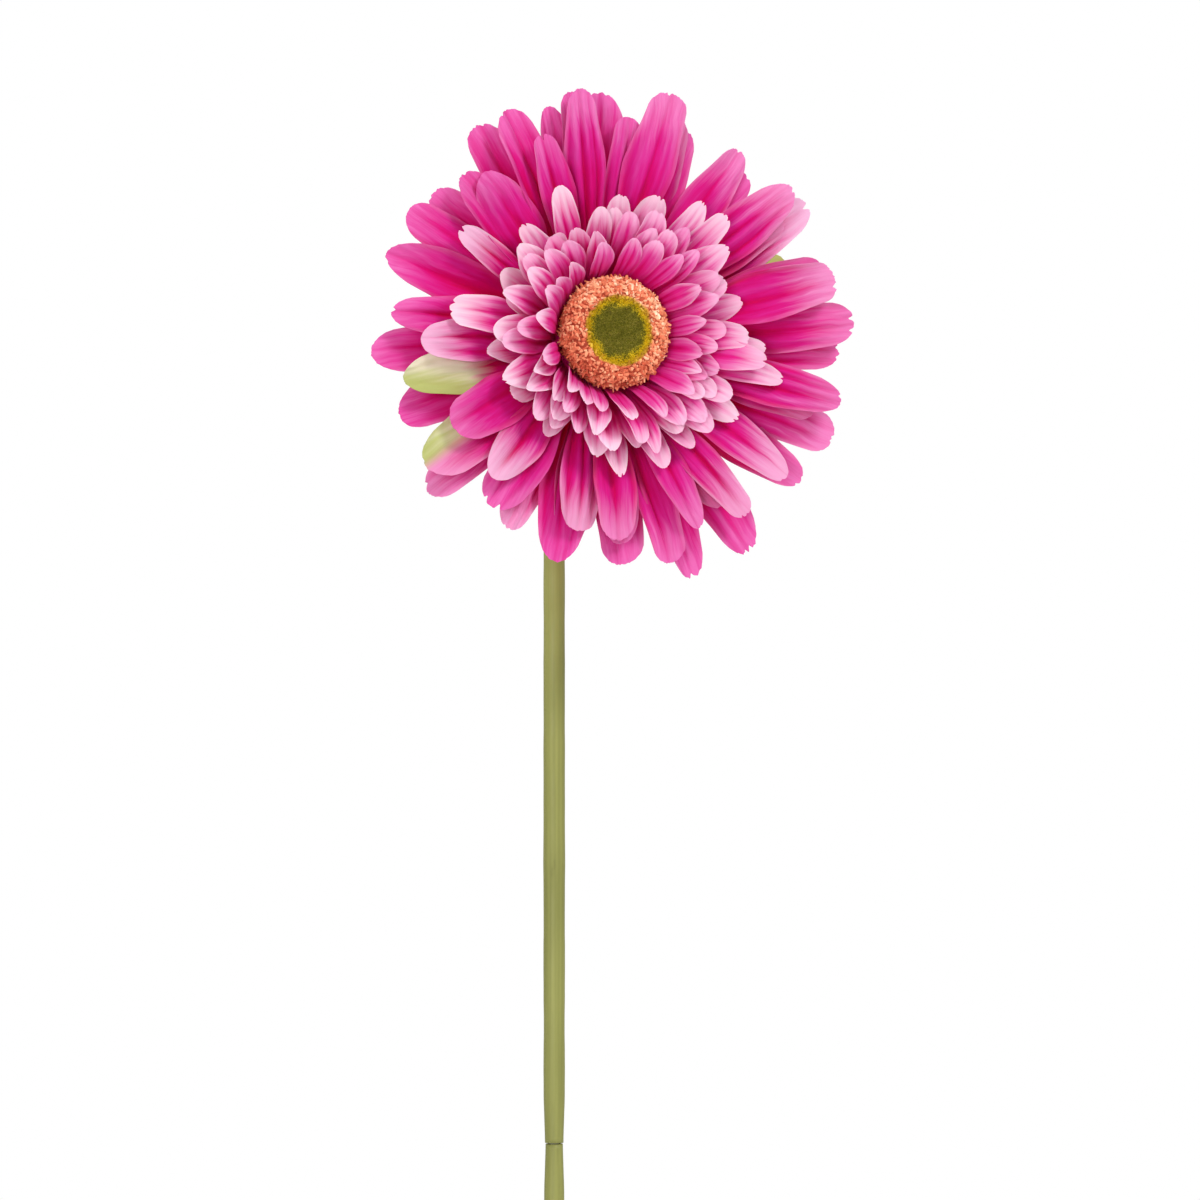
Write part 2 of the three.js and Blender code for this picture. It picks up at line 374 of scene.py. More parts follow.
def sleeve_tree():
    """A tube along a curve that starts at the seam: uneven, and drawn in to a waist where it starts."""
    tree, line, given = geometry_tree(
        "sleeve", Radius="Float", Unevenness="Float", Waist_Depth="Float", Waist_Length="Float",
        Spacing="Float", Sides="Int", Material="Material")
    rings = add_node(
        tree, "GeometryNodeResampleCurve", settings={"mode": "LENGTH"}, Curve=line, Length=given["Spacing"])
    along = add_node(tree, "GeometryNodeSplineParameter", output=1)
    wobble = noise(tree, vector(tree, 0.0, 0.0, along), 48.0) - 0.5
    waist = given["Waist_Depth"] * (1 - (along / given["Waist_Length"]).ramp(-0.3, 1.0))
    radius = given["Radius"] + wobble * given["Unevenness"] - waist
    ring = add_node(tree, "GeometryNodeCurvePrimitiveCircle", Resolution=given["Sides"], Radius=1.0)
    tube = add_node(tree, "GeometryNodeCurveToMesh", Curve=rings, Profile_Curve=ring, Scale=radius)
    end_tree(tree, tube, given["Material"])
    return tree


def line_curve(name, points):
    """A curve through points, with no thickness of its own."""
    data = bpy.data.curves.new(name, "CURVE")
    data.dimensions = "3D"
    spline = data.splines.new("POLY")
    spline.points.add(len(points) - 1)
    for point, place in zip(spline.points, points):
        point.co = (*place, 1)
    return data


def bezier(start, first, second, end, steps):
    """Points on one cubic Bezier curve."""
    points = []
    for step in range(steps + 1):
        t = step / steps
        points.append((1 - t) ** 3 * start + 3 * (1 - t) ** 2 * t * first
                      + 3 * (1 - t) * t ** 2 * second + t ** 3 * end)
    return points


def thicken(piece, thickness, offset):
    """Gives a surface a wall: all of it inwards at an offset of -1, and half to each side at 0."""
    wall = piece.modifiers.new("wall", "SOLIDIFY")
    wall.thickness = thickness
    wall.offset = offset


def stem_material():
    """Olive plastic, faintly streaked along its length, with a few scuffs and a darker blotch or two,
    and painted shade that darkens it towards the bottom.
    """
    material, tree, shader = new_material("stem_plastic")
    x, y, z = own_place(tree)
    streaks = noise(tree, vector(tree, x * 1400, y * 1400, z * 14), 1.0, 3.0)
    patches = noise(tree, vector(tree, x * 60, y * 60, z * 22), 1.0)
    scuffs = noise(tree, vector(tree, x * 500, y * 500, z * 90), 1.0, 4.0)
    # The z term is painted shade: the olive gets darker towards the bottom of the stem.
    tone = streaks * 0.35 + patches * 0.65 + z * 0.9 - 0.2
    olive = colours(tree, tone, [(0.25, (102, 103, 48)), (0.75, (148, 148, 80))])
    marked = blend(tree, scuffs.ramp(0.66, 0.78) * 0.55, olive, srgb(104, 104, 52))
    grain = noise(tree, vector(tree, x * 2600, y * 2600, z * 700), 1.0, 3.0)
    finish_shader(
        tree, shader, marked, scuffs.ramp(0.3, 0.8) * 0.16 + 0.46, grain + streaks, 0.05 * MM, 0.25)
    shader.inputs["Specular IOR Level"].default_value = 0.35
    return material


SLEEVE = sleeve_tree()
STEM_PLASTIC = stem_material()
lower_low, lower_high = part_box("lower_stem_sleeve")
upper_low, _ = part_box("upper_stem_sleeve")


def on_head_axis(height):
    return HEAD @ Vector((0, 0, height))


def add_sleeve(node, points, radius):
    """One length of sleeve, bored for the wire. Its points start at the seam."""
    piece = grow(
        node + "_skin", line_curve(node, points), SLEEVE, Radius=radius, Unevenness=UNEVENNESS,
        Waist_Depth=WAIST_DEPTH, Waist_Length=WAIST_LENGTH, Spacing=RING_SPACING, Sides=SLEEVE_SIDES,
        Material=STEM_PLASTIC)
    thicken(piece, radius - WAIST_DEPTH - WIRE_BORE, -1)
    hand_in(piece, [node])


add_sleeve(
    "lower_stem_sleeve", [Vector((0, 0, lower_high.z)), Vector((0, 0, lower_low.z))], LOWER_SLEEVE_RADIUS)
neck = bezier(
    Vector((0, 0, NECK_FOOT)),
    Vector((0, 0, NECK_FOOT + NECK_STIFFNESS)),
    on_head_axis(SLEEVE_TOP - NECK_STIFFNESS),
    on_head_axis(SLEEVE_TOP),
    NECK_STEPS,
)
add_sleeve("upper_stem_sleeve", [Vector((0, 0, upper_low.z)), *neck], SLEEVE_RADIUS)


def wire_material():
    """Dull drawn steel: fine scratches along the wire."""
    material, tree, shader = new_material("wire_steel")
    x, y, z = own_place(tree)
    scratches = noise(tree, vector(tree, x * 9000, y * 9000, z * 60), 1.0, 3.0)
    steel = colours(tree, scratches, [(0.3, (120, 118, 114)), (0.7, (190, 188, 184))])
    finish_shader(tree, shader, steel, scratches * 0.3 + 0.25, scratches, 0.02 * MM, 0.3)
    shader.inputs["Metallic"].default_value = 1.0
    return material


def repaint(node, material):
    """Gives a CAD node that stays a better material."""
    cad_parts[node].data.materials.clear()
    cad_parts[node].data.materials.append(material)


repaint("stem_wire", wire_material())


# The peg and the foam core. The peg is a soft plastic rod on the wire's end, which every sheet of petals
# is threaded on. The core is a plug of foam pushed over the peg's end, and carries the eye and the ring.

def speckled_material(name, dark, light, grain, roughness, depth):
    """A plain plastic or foam with a grain of so many millimetres."""
    material, tree, shader = new_material(name)
    place = vector(tree, *own_place(tree))
    coarse = noise(tree, place, 0.3 / (grain * MM), 3.0)
    fine = noise(tree, place, 1 / (grain * MM), 3.0)
    paint = colours(tree, coarse * 0.5 + fine * 0.5, [(0.3, dark), (0.7, light)])
    finish_shader(tree, shader, paint, coarse * 0.15 + roughness, fine + coarse, depth * MM)
    shader.inputs["Specular IOR Level"].default_value = 0.3
    return material


repaint("head_peg", speckled_material("peg_plastic", (94, 104, 48), (122, 132, 66), 0.6, 0.45, 0.03))
repaint("eye_core", speckled_material("core_foam", (150, 148, 84), (186, 184, 116), 0.35, 0.85, 0.15))


# The calyx. A soft plastic cup that seats the foot of the peg and takes the stem's end in its socket,
# with three rows of narrow pointed bracts moulded against its outside.

CUP_FOOT = -27.5 * MM
CUP_TOP = -14.3 * MM
CUP_NECK = 4.3 * MM
CUP_SPREAD = 8.1 * MM
CUP_LIP = 0.5 * MM
SLEEVE_SOCKET = 3.2 * MM
PEG_SEAT = 3.3 * MM
WEB_TOP = -21.3 * MM
WEB_FOOT = -23.3 * MM
CUP_RINGS = 14
BRACT_THICKNESS = 0.45 * MM
BRACT_LIFT = 0.5 * MM
BRACT_ROWS = [  # foot height, length, width, in millimetres
    (-26.9, 6.2, 2.2),
    (-23.9, 6.6, 3.2),
    (-20.6, 5.8, 4.2),
]
BRACTS_IN_ROW = 17
BRACT_SEED = 11


def lathe(name, outline, sides=48):
    """A mesh turned round the head's axis. Its outline starts and ends on the axis, or closes on itself,
    and goes outwards along the bottom."""
    closed = outline[0] == outline[-1]
    places, rings = [], []
    for radius, height in outline[:-1] if closed else outline:
        turns = [2 * math.pi * side / sides for side in range(sides if radius else 1)]
        rings.append(range(len(places), len(places) + len(turns)))
        places += [(radius * math.cos(turn), radius * math.sin(turn), height) for turn in turns]
    if closed:
        rings.append(rings[0])
    faces = []
    for first, second in zip(rings, rings[1:]):
        for side in range(sides):
            start, end = side, (side + 1) % sides
            corners = (first[start % len(first)], first[end % len(first)],
                       second[end % len(second)], second[start % len(second)])
            faces.append(tuple(dict.fromkeys(corners)))
    mesh = bpy.data.meshes.new(name)
    mesh.from_pydata(places, [], faces)
    mesh.shade_smooth()
    return mesh


def plan_mesh(name, blades):
    """Points at one place, one for each petal or bract, which carry its values by name."""
    mesh = bpy.data.meshes.new(name)
    mesh.from_pydata([(0, 0, 0)] * len(blades), [], [])
    for label in blades[0]:
        values = [blade[label] for blade in blades]
        mesh.attributes.new(label, "FLOAT", "POINT").data.foreach_set("value", values)
    return mesh


def spread_blanks(tree, plan, columns, rows):
    """One flat blank for each point of a plan, whose own x runs -1 to 1 and y runs 0 to 1."""
    grid = add_node(
        tree, "GeometryNodeMeshGrid", Size_X=2.0, Size_Y=1.0, Vertices_X=columns, Vertices_Y=rows)
    x, y, _ = add_node(tree, "GeometryNodeInputPosition").parts()
    marked = keep(tree, grid, "blank", vector(tree, x, y + 0.5, 0.0))
    spread = add_node(tree, "GeometryNodeInstanceOnPoints", Points=plan, Instance=marked)
    real = add_node(tree, "GeometryNodeRealizeInstances", Geometry=spread)
    across, down, _ = kept(tree, "blank", "FLOAT_VECTOR").parts()
    return real, across, down


def bract_tree():
    """Bends a blank for each bract on to the cup, pointed at its tip and standing off a little there."""
    tree, plan, given = geometry_tree(
        "bracts", Foot="Float", Top="Float", Neck="Float", Spread="Float", Lift="Float", Material="Material")
    real, across, down = spread_blanks(tree, plan, 7, 12)
    pointed = (down * 0.9 + 0.12).math("SQRT") * (1 - down ** 2.6) * 1.5 + 0.04
    x = across * kept(tree, "width") * 0.5 * pointed
    height = kept(tree, "foot") + kept(tree, "length") * down
    climb = (height - given["Foot"]) / (given["Top"] - given["Foot"]) * (math.pi / 2)
    swell = (1 - across * across) * 0.35 * MM
    radius = given["Neck"] + given["Spread"] * climb.sine() + given["Lift"] * (down * down + 0.25) + swell
    turn = kept(tree, "angle") + x / radius
    bent = add_node(
        tree, "GeometryNodeSetPosition", Geometry=real,
        Position=vector(tree, turn.sine() * radius, turn.cosine() * radius, height))
    marked = keep(tree, bent, "bract", vector(tree, across, down, kept(tree, "seed")))
    end_tree(tree, marked, given["Material"])
    return tree


def carried(tree, name, output=1):
    """What a mesh carries under a name: a vector, or a number at output 2."""
    return add_node(tree, "ShaderNodeAttribute", output=output, settings={"attribute_name": name})


def calyx_material():
    """Matt leaf-green plastic, paler at the bracts' tips and darker towards their feet, where they overlap:
    that darkening is painted shade.
    """
    material, tree, shader = new_material("calyx_plastic")
    x, y, z = own_place(tree)
    place = vector(tree, x, y, z)
    across, down, seed = carried(tree, "bract").parts()
    patches = noise(tree, place, 260.0, 3.0)
    veins = noise(tree, vector(tree, across * 5, down * 0.8, seed * 40), 1.0, 2.0)
    # The down term is painted shade: each bract is darker towards its foot, where the bracts overlap.
    tone = down * 0.5 + patches * 0.35 + veins * 0.25
    leaf = colours(tree, tone, [(0.15, (92, 104, 42)), (0.55, (128, 140, 62)), (0.95, (164, 170, 92))])
    grain = noise(tree, place, 1800.0, 3.0)
    finish_shader(tree, shader, leaf, patches * 0.2 + 0.5, grain * 0.4 + veins, 0.06 * MM)
    shader.inputs["Specular IOR Level"].default_value = 0.3
    return material


CALYX_PLASTIC = calyx_material()
cup_side = []
for ring in range(CUP_RINGS + 1):
    climb = ring / CUP_RINGS
    cup_side.append((
        CUP_NECK + CUP_SPREAD * math.sin(climb * math.pi / 2),
        CUP_FOOT + (CUP_TOP - CUP_LIP - CUP_FOOT) * climb))
cup = add_object("calyx_cup_shell", lathe("calyx_cup_shell", [
    (SLEEVE_SOCKET, CUP_FOOT), *cup_side, (cup_side[-1][0] - CUP_LIP, CUP_TOP), (PEG_SEAT, CUP_TOP),
    (PEG_SEAT, WEB_TOP), (WIRE_BORE, WEB_TOP), (WIRE_BORE, WEB_FOOT), (SLEEVE_SOCKET, WEB_FOOT),
    (SLEEVE_SOCKET, CUP_FOOT)], 64))
cup.data.transform(HEAD)
cup.data.materials.append(CALYX_PLASTIC)
hand_in(cup, ["calyx_cup"])

chance = random.Random(BRACT_SEED)
bract_plan = [
    {
        "angle": (i + row / 2 + chance.uniform(-0.1, 0.1)) * 2 * math.pi / BRACTS_IN_ROW,
        "foot": (foot + chance.uniform(-0.3, 0.3)) * MM,
        "length": length * chance.uniform(0.92, 1.0) * MM,
        "width": width * chance.uniform(0.9, 1.1) * MM,
        "seed": chance.random(),
    }
    for row, (foot, length, width) in enumerate(BRACT_ROWS) for i in range(BRACTS_IN_ROW)
]
bracts = grow(
    "calyx_bracts", plan_mesh("calyx_bract_plan", bract_plan), bract_tree(), HEAD, Foot=CUP_FOOT,
    Top=CUP_TOP, Neck=CUP_NECK, Spread=CUP_SPREAD, Lift=BRACT_LIFT, Material=CALYX_PLASTIC)
thicken(bracts, BRACT_THICKNESS, 0)
hand_in(bracts, ["calyx_cup"])


# The petal sheets. Each is one sheet of dyed polyester cloth, cut as a washer with petals round it. Hot
# moulds press creases along every petal, and the sheets are threaded on the head's peg, back to front.

ROOT = 1 * MM
WASHER_HOLE = 3.4 * MM
WASHER_SIDES = 96
CLOTH_THICKNESS = 0.16 * MM
FULL_WIDTH = 12
PALEST_CLOCK = 225
FIRST_SHEET_SEED = 40
SEPAL_SEED = 60


def petal_tree():
    """Bends a blank for each point of a petal plan into a petal that follows its sheet's bowl."""
    tree, plan, given = geometry_tree(
        "petal_sheet", Hub="Float", Base="Float", Rise="Float", Rim="Float", Foot="Float", Point="Float",
        Columns="Int", Rows="Int", Crease="Float", Keel="Float", Cup="Float", Lay="Float",
        Material="Material")
    real, across, down = spread_blanks(tree, plan, given["Columns"], given["Rows"])
    reach, width, seed = kept(tree, "reach"), kept(tree, "width"), kept(tree, "seed")
    length = reach - given["Hub"]

    # The end: a round cut, notches where the cloth is snipped, and teeth where it frays.
    outline = (1 - across.size() ** 2.2 * 0.985) ** 0.48
    round_cut = width / length * 0.5 * (1 - outline) * kept(tree, "roundness")
    frayed = noise(tree, vector(tree, across * 7, seed * 13, 0.0), 1.0, 3.0) - 0.5
    snips = across.hump(kept(tree, "snip_place"), 0.10) * kept(tree, "snip")
    second = across.hump(kept(tree, "snip_place") * -0.9 + 0.1, 0.08) * kept(tree, "second_snip")
    end = 1 - round_cut - (snips + second) / length + frayed * kept(tree, "fray") / length
    distance = (length + ROOT) * down * end - ROOT
    share = (distance / length).at_least(0.0)

    # The outline, and a sideways lean that grows towards the tip.
    full = given["Foot"] + (width - given["Foot"]) * share.ramp(0.0, 0.64)
    tapered = full * 0.5 * (1 - share.ramp(0.58, 1.12) * given["Point"] * kept(tree, "taper"))
    lean = share * share * kept(tree, "lean")
    wavy_edge = noise(tree, vector(tree, across * 0.8, share * 3, seed * 7), 1.0, 1.0) - 0.5
    x = across * tapered * (1 + wavy_edge * 0.2) + lean

    # The cloth's height off the bowl: laid over its neighbour, cupped, pressed into long lobes with a
    # sharp valley between each two, ruffled at its edges, crumpled, curled at its tip and rolled.
    lay = x * kept(tree, "lay") * given["Lay"] * share.ramp(0.0, 0.4)
    cup = across * across * share.ramp(0.1, 0.8) * kept(tree, "cup") * given["Cup"]
    shift = (noise(tree, vector(tree, share * 1.6, seed * 5, 0.0), 1.0, 1.0) - 0.5) * 0.3
    lobe = ((across + shift + kept(tree, "fold_place")) * kept(tree, "lobes") * (math.pi / 2)).sine().size()
    pressed = share.ramp(0.02, 0.24) * (1 - share.ramp(0.66, 1.0) * 0.7)
    groove = (1 - lobe) ** 1.5 * pressed * (1 - across.size() ** 3)
    pleats = noise(tree, vector(tree, across * 4.2, share * 1.3, seed * 31), 1.0, 1.0) - 0.5
    side = across - kept(tree, "fold_place")
    keel = (side * side + 0.01).math("SQRT") * kept(tree, "keel") * given["Keel"] * pressed
    relief = (pleats * 0.7 * pressed - groove) * given["Crease"] * kept(tree, "crease") + keel
    wave = (share * 11 + seed * 20 + across * 1.5).sine() * across.size() ** 3.0
    wave = wave * share.ramp(0.3, 0.9) * kept(tree, "ruffle")
    crumple = noise(tree, vector(tree, across * 1.3, share * 2.6, seed * 11), 1.0) - 0.5
    crumple = crumple * kept(tree, "crumple") * share.ramp(0.05, 0.5)
    curl = share.ramp(0.55, 1.1) * kept(tree, "curl")
    rolled = (across * kept(tree, "rolled_side")).at_least(0.0) ** 2.5 * kept(tree, "roll")
    rolled = rolled * share.ramp(0.15, 0.6)
    height = lay + cup + relief + wave + crumple + curl + rolled

    radius = distance + given["Hub"]
    span = given["Rim"] - given["Hub"]
    climb = ((radius - given["Hub"]) / span).at_least(0.0).at_most(1.0)
    bowl = given["Base"] + given["Rise"] * (climb * (math.pi / 2)).sine()
    slope = (climb * (math.pi / 2)).cosine() * given["Rise"] * (math.pi / 2) / span
    slope = slope * climb.math("GREATER_THAN", 0.0)
    steepness = (slope * slope + 1).math("SQRT")
    outward = radius - height * slope / steepness
    forward = bowl + height / steepness

    angle = kept(tree, "angle")
    cosine, sine = angle.cosine(), angle.sine()
    placed = add_node(
        tree, "GeometryNodeSetPosition", Geometry=real,
        Position=vector(tree, x * cosine + outward * sine, outward * cosine - x * sine, forward))
    placed = keep(tree, placed, "cloth", vector(tree, x / MM, distance / MM, seed))
    # The petal's third number is a mask for painted shade: high in the grooves, which it darkens, and low on
    # the pleats' ridges, which it paints paler as a highlight.
    placed = keep(tree, placed, "petal", vector(tree, across, share, groove - pleats * pressed * 1.3))
    border = add_node(tree, "GeometryNodeInputMeshEdgeNeighbors").math("LESS_THAN", 1.5)

    # The washer that joins the petals, under their feet.
    strip = add_node(
        tree, "GeometryNodeMeshGrid", Size_X=1.0, Size_Y=1.0, Vertices_X=WASHER_SIDES + 1, Vertices_Y=3)
    flat_x, flat_y, _ = add_node(tree, "GeometryNodeInputPosition").parts()
    turn = (flat_x + 0.5) * (2 * math.pi)
    away = (flat_y + 0.5) * (given["Hub"] - WASHER_HOLE) + WASHER_HOLE
    around = vector(tree, turn.cosine() * away, turn.sine() * away * -1, given["Base"] - 0.1 * MM)
    bent = add_node(tree, "GeometryNodeSetPosition", Geometry=strip, Position=around)
    washer = add_node(tree, "GeometryNodeMergeByDistance", Geometry=bent, Distance=0.01 * MM)
    end_tree(tree, join(tree, placed, washer), given["Material"], border)
    return tree


PETAL_SHEET = petal_tree()


def petal_plan(sheet, chance):
    """A point for each petal, with what the cutter, the dye and the mould gave it."""
    plan = []
    for clock, reach, width, pale, snip, green in sheet["petals"]:
        angle = math.radians(clock)
        if "tip" in sheet:
            right = (reach * math.sin(angle) - sheet["tip"] * math.sin(HEAD_TURN)) / math.cos(HEAD_TURN)
            up = reach * math.cos(angle) - sheet["tip"] * math.sin(HEAD_LIFT)
            angle, reach = math.atan2(right, up), math.hypot(right, up)
        big = width / FULL_WIDTH
        plan.append({
            "angle": angle,
            "reach": reach * MM,
            "width": width * MM,
            "seed": chance.uniform(0, 1),
            "roundness": chance.uniform(0.7, 1.3),
            "taper": chance.uniform(0.5, 1.2),
            "snip": snip * MM,
            "snip_place": chance.choice((-1, 1)) * chance.uniform(0.05, 0.4),
            "second_snip": chance.choice((0, 0.4, 0.8)) * snip * MM,
            "fray": chance.uniform(0.5, 1.6) * big * MM,
            "lean": chance.uniform(-2.2, 2.2) * big * MM,
            "lay": math.tan(math.radians(chance.uniform(4, 8))),
            "cup": chance.uniform(-1.4, 1.2),
            "fold_place": chance.uniform(-0.14, 0.14),
            "lobes": chance.choice(sheet["lobes"]),
            "crease": chance.uniform(0.6, 1.3),
            "keel": chance.choice((-1, 1)) * chance.uniform(0.3, 1.2) * big,
            "ruffle": chance.uniform(0.15, 0.7) * big * MM,
            "crumple": chance.uniform(1.0, 2.8) * big * MM,
            "curl": chance.uniform(-1.8, 1.4) * big * MM,
            "roll": chance.choice((0, 0.6, 1.2, 1.8)) * big * MM,
            "rolled_side": chance.choice((-1, 1)),
            "pale": pale,
            "green": green,
            "tone": chance.uniform(-1, 1),
        })
    return plan_mesh(sheet["node"] + "_plan", plan)


def cloth_material(name, stops, pale_colour, pale_start, weave, sheen, glow_share):
    """Dyed cloth: colour deepest at the root, partly the dye and partly painted shade, streaked along the
    petal, bleached or green at some tips. The grooves carry painted shade, the pleats' ridges painted
    highlight, and the edges are paler, partly frayed cloth and partly painted highlight.
    """
    material, tree, shader = new_material(name)
    across, share, valley = carried(tree, "petal").parts()
    x, y, seed = carried(tree, "cloth").parts()
    pale, green, tone = (carried(tree, name, 2) for name in ("pale", "green", "tone"))

    wander = x + (noise(tree, vector(tree, x * 0.1, y * 0.07, seed * 30), 1.0) - 0.5) * 3.5
    streaks = noise(tree, vector(tree, wander * 0.9, y * 0.05, seed * 50), 1.0, 3.0) - 0.5
    veins = noise(tree, vector(tree, wander * 3.5, y * 0.12, seed * 50), 1.0, 3.0) - 0.5
    blush = noise(tree, vector(tree, x * 0.16, y * 0.1, seed * 50), 1.0) - 0.5

    # Painted shade: the deep crimson at the root is partly the dye and partly shade where the petals lie
    # under one another, and the mask from the petal darkens the grooves and lightens the pleats' ridges.
    depth = share + streaks * 0.55 + veins * 0.2 + blush * 0.3 + tone * 0.07 - valley * 0.42
    dye = colours(tree, depth, stops)
    # Paler edges: partly the frayed cloth's own paleness, partly a painted highlight along the rim.
    edge = across.size().ramp(0.72, 1.0) * share.ramp(0.2, 0.7)
    painted = blend(tree, edge * (0.1 + blush * 0.3).at_least(0.0), dye, srgb(*pale_colour))
    # The grooves also keep a little less bleach, as painted shade.
    reached = share + streaks * 0.3 + veins * 0.12 + edge * 0.1 - valley * 0.1
    bleach = reached.ramp(pale * -0.2 + pale_start, 0.98) * pale
    painted = blend(tree, bleach, painted, srgb(*pale_colour))
    one_side = (green + across * (1 - green) * 3).ramp(0.5, 1.0) * green.ramp(0.0, 0.3)
    greening = (share + streaks * 0.3 - edge * 0.12).ramp(0.38, 0.62) * one_side
    leaf = blend(
        tree, (share * 1.2 + streaks * 0.5 - across * (green - 0.75) * 2 - 0.4).ramp(0.2, 0.85),
        srgb(246, 242, 222), srgb(200, 205, 130))
    painted = blend(tree, greening, painted, leaf)

    thread = 2 * math.pi / weave
    threads = (x * thread).sine() * (y * thread).sine()
    slubs = noise(tree, vector(tree, x * 5, y * 5, seed * 9), 1.0)
    relief = threads * 0.25 + veins * 1.6 + slubs * 0.5 + streaks * 0.8
    finish_shader(tree, shader, painted, veins * 0.2 + 0.72, relief, 0.09 * MM)
    shader.inputs["Specular IOR Level"].default_value = 0.1
    shader.inputs["Sheen Weight"].default_value = 0.06
    shader.inputs["Sheen Roughness"].default_value = 0.5
    shader.inputs["Sheen Tint"].default_value = srgb(*sheen)

    through = add_node(tree, "ShaderNodeGamma", Color=painted, Gamma=1.2)
    glow = add_node(tree, "ShaderNodeBsdfTranslucent", Color=through)
    both = tree.nodes.new("ShaderNodeMixShader")
    both.inputs["Fac"].default_value = glow_share
    tree.links.new(shader.outputs[0], both.inputs[1])
    tree.links.new(glow.socket, both.inputs[2])
    tree.links.new(both.outputs[0], tree.nodes["Material Output"].inputs["Surface"])
    return material


# Each run starts at the root with a deep crimson that is partly dye and partly painted shade, where the
# petals lie under one another.
PETAL_CLOTH = cloth_material(
    "petal_cloth",
    [(0.18, (220, 0, 100)), (0.4, (224, 2, 126)), (0.62, (227, 34, 152)), (0.85, (230, 72, 174)),
     (1.0, (236, 106, 192))],
    pale_colour=(246, 208, 232), pale_start=0.72, weave=0.32, sheen=(255, 190, 225), glow_share=0.42)
COLLAR_CLOTH = cloth_material(
    "collar_cloth",
    [(0.1, (232, 6, 130)), (0.36, (240, 46, 166)), (0.6, (242, 94, 190)), (0.85, (243, 132, 206)),
     (1.0, (246, 162, 220))],
    pale_colour=(254, 234, 245), pale_start=0.74, weave=0.28, sheen=(255, 190, 225), glow_share=0.5)


def even_ring(count, start, reach, spread, width, pale):
    """Petals evenly round the head, varied a little as hand forming does, with paler tips on the side
    towards PALEST_CLOCK.
    """
    pitch = 360 / count
    return [
        (start + pitch * (i + 0.3 * math.sin(5 * i + 1)), reach + spread * math.sin(7.3 * i),
         width * (1 + 0.14 * math.sin(2.9 * i)),
         pale * (0.8 + 0.2 * math.sin(2.3 * i)
                 + 0.25 * math.cos(math.radians(start + pitch * i - PALEST_CLOCK))),
         0.35 * (i % 2), 0)
        for i in range(count)
    ]


# What the sheets of long petals share, and what the sheets of short ones share.
LONG = {
    "material": PETAL_CLOTH, "slot": "petal_fabric", "hub": 13, "foot": 3.2, "cup": 0.8,
    "lobes": (2, 2, 3), "point": 0.42, "grid": (34, 56)}
SHORT = {"material": COLLAR_CLOTH, "slot": "collar_fabric", "hub": 13, "foot": 3.6, "lobes": (2, 3)}

